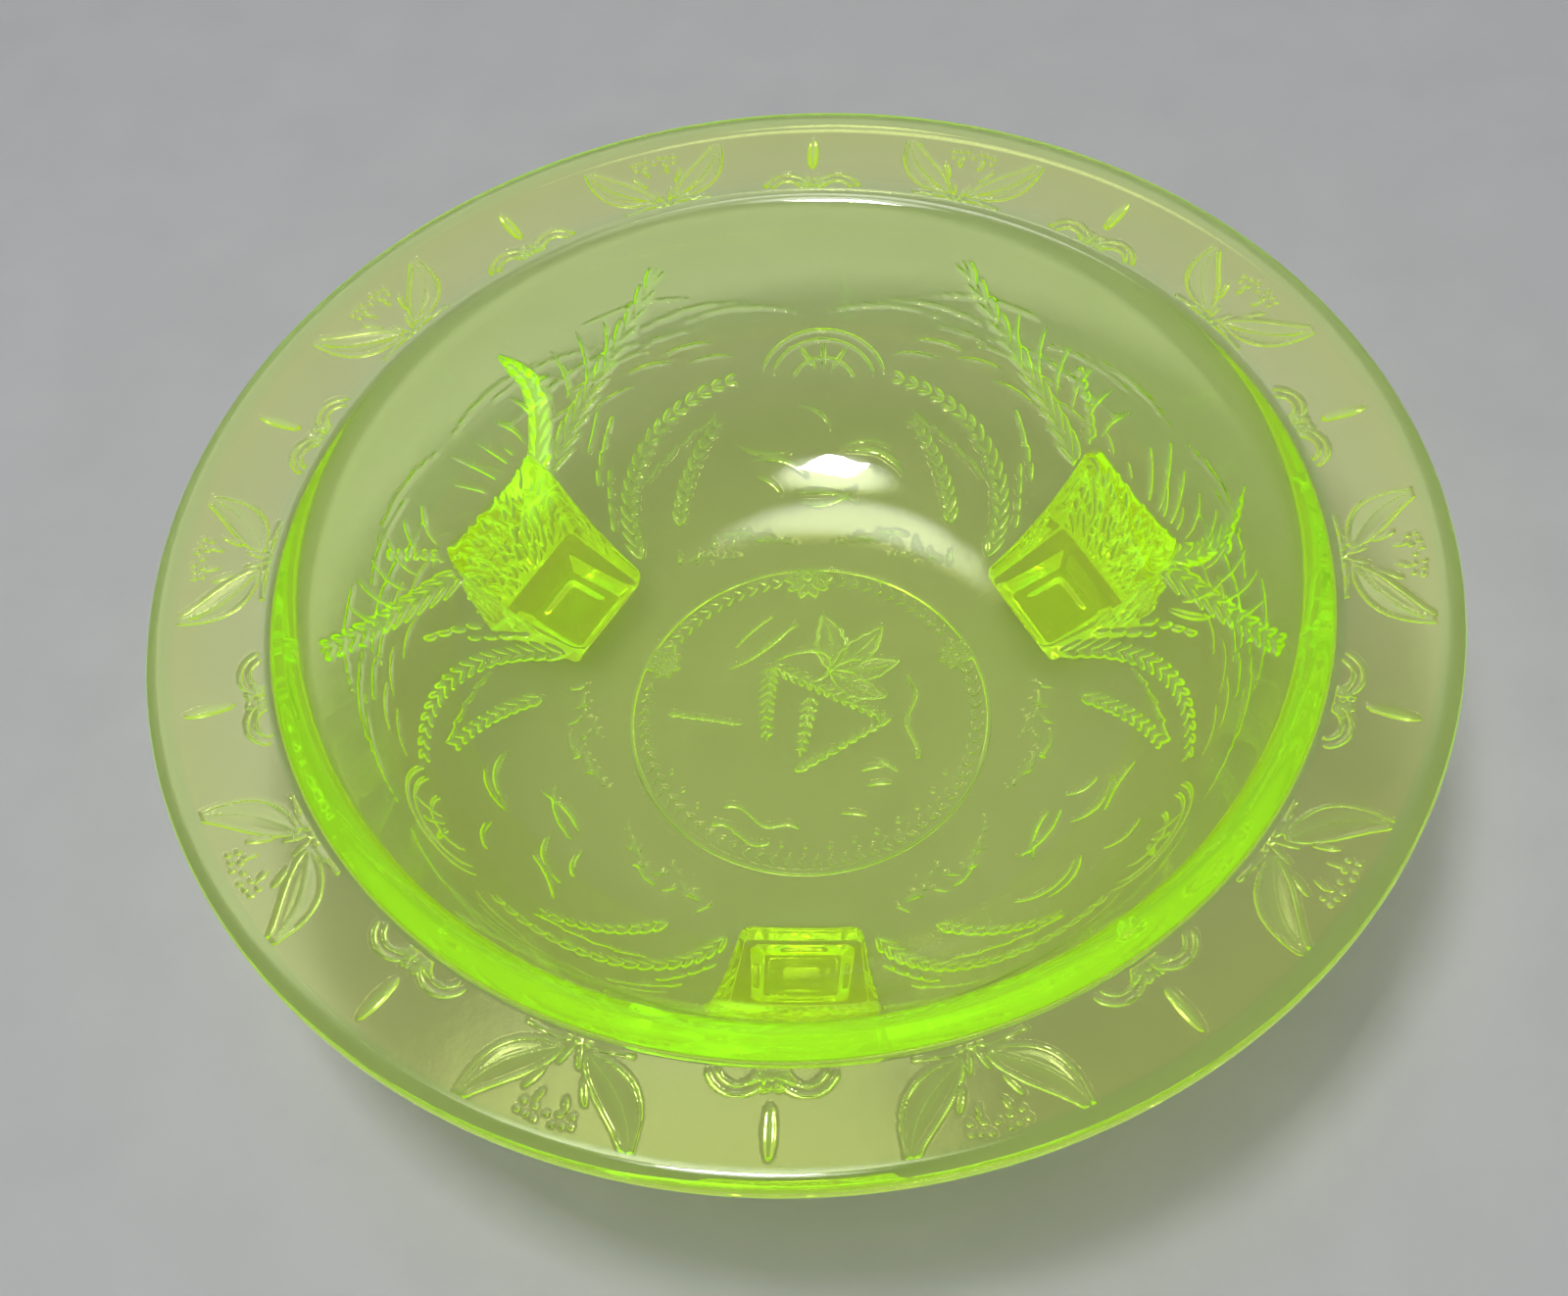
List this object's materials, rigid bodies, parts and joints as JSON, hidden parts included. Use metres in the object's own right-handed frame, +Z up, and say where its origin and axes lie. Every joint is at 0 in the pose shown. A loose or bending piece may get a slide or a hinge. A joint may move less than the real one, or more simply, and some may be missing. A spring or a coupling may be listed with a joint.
{
  "type": "footed glass bowl",
  "caption": "Shallow round bowl of pressed yellow-green glass with a broad flat brim and square feet, ornament pressed underneath.",
  "frame": {"origin": "on the table, midway between the three feet, under the bowl's axis", "axes": "+Z up along the bowl's axis; the front foot points towards -Y"},
  "size_m": [0.25, 0.25, 0.075],
  "materials": {
    "thin_glass": "polished pressed uranium glass, pale yellow-green where thin",
    "thick_glass": "polished pressed uranium glass, glowing green where thick",
    "relief_glass": "fire-polished pressed ornament in uranium glass"
  },
  "bodies": {
    "root": {"bowl_floor": "thin_glass", "wall_lower": "thin_glass", "wall_middle": "thin_glass", "wall_upper": "thin_glass", "neck_ring": "thick_glass", "brim": "thin_glass", "rim_edge": "thick_glass", "foot_block_front": "thick_glass", "foot_block_right": "thick_glass", "foot_block_left": "thick_glass", "foot_sole_front": "thick_glass", "foot_sole_right": "thick_glass", "foot_sole_left": "thick_glass", "foot_spine_front": "thick_glass", "foot_spine_right": "thick_glass", "foot_spine_left": "thick_glass", "brim_leaves": "relief_glass", "brim_leaf_veins": "relief_glass", "brim_sepals": "relief_glass", "brim_blossoms": "relief_glass", "brim_stamens": "relief_glass", "brim_berries": "relief_glass", "brim_bows": "relief_glass", "brim_bow_florets": "relief_glass", "brim_buds": "relief_glass", "floor_ring": "relief_glass", "floor_wreath": "relief_glass", "floor_daisies": "relief_glass", "floor_sprig_leaves": "relief_glass", "floor_sprig_stems": "relief_glass", "floor_ferns": "relief_glass", "floor_ripples": "relief_glass", "wall_ferns": "relief_glass", "wall_fern_stems": "relief_glass", "wall_arches": "relief_glass"}
  },
  "joints": []
}
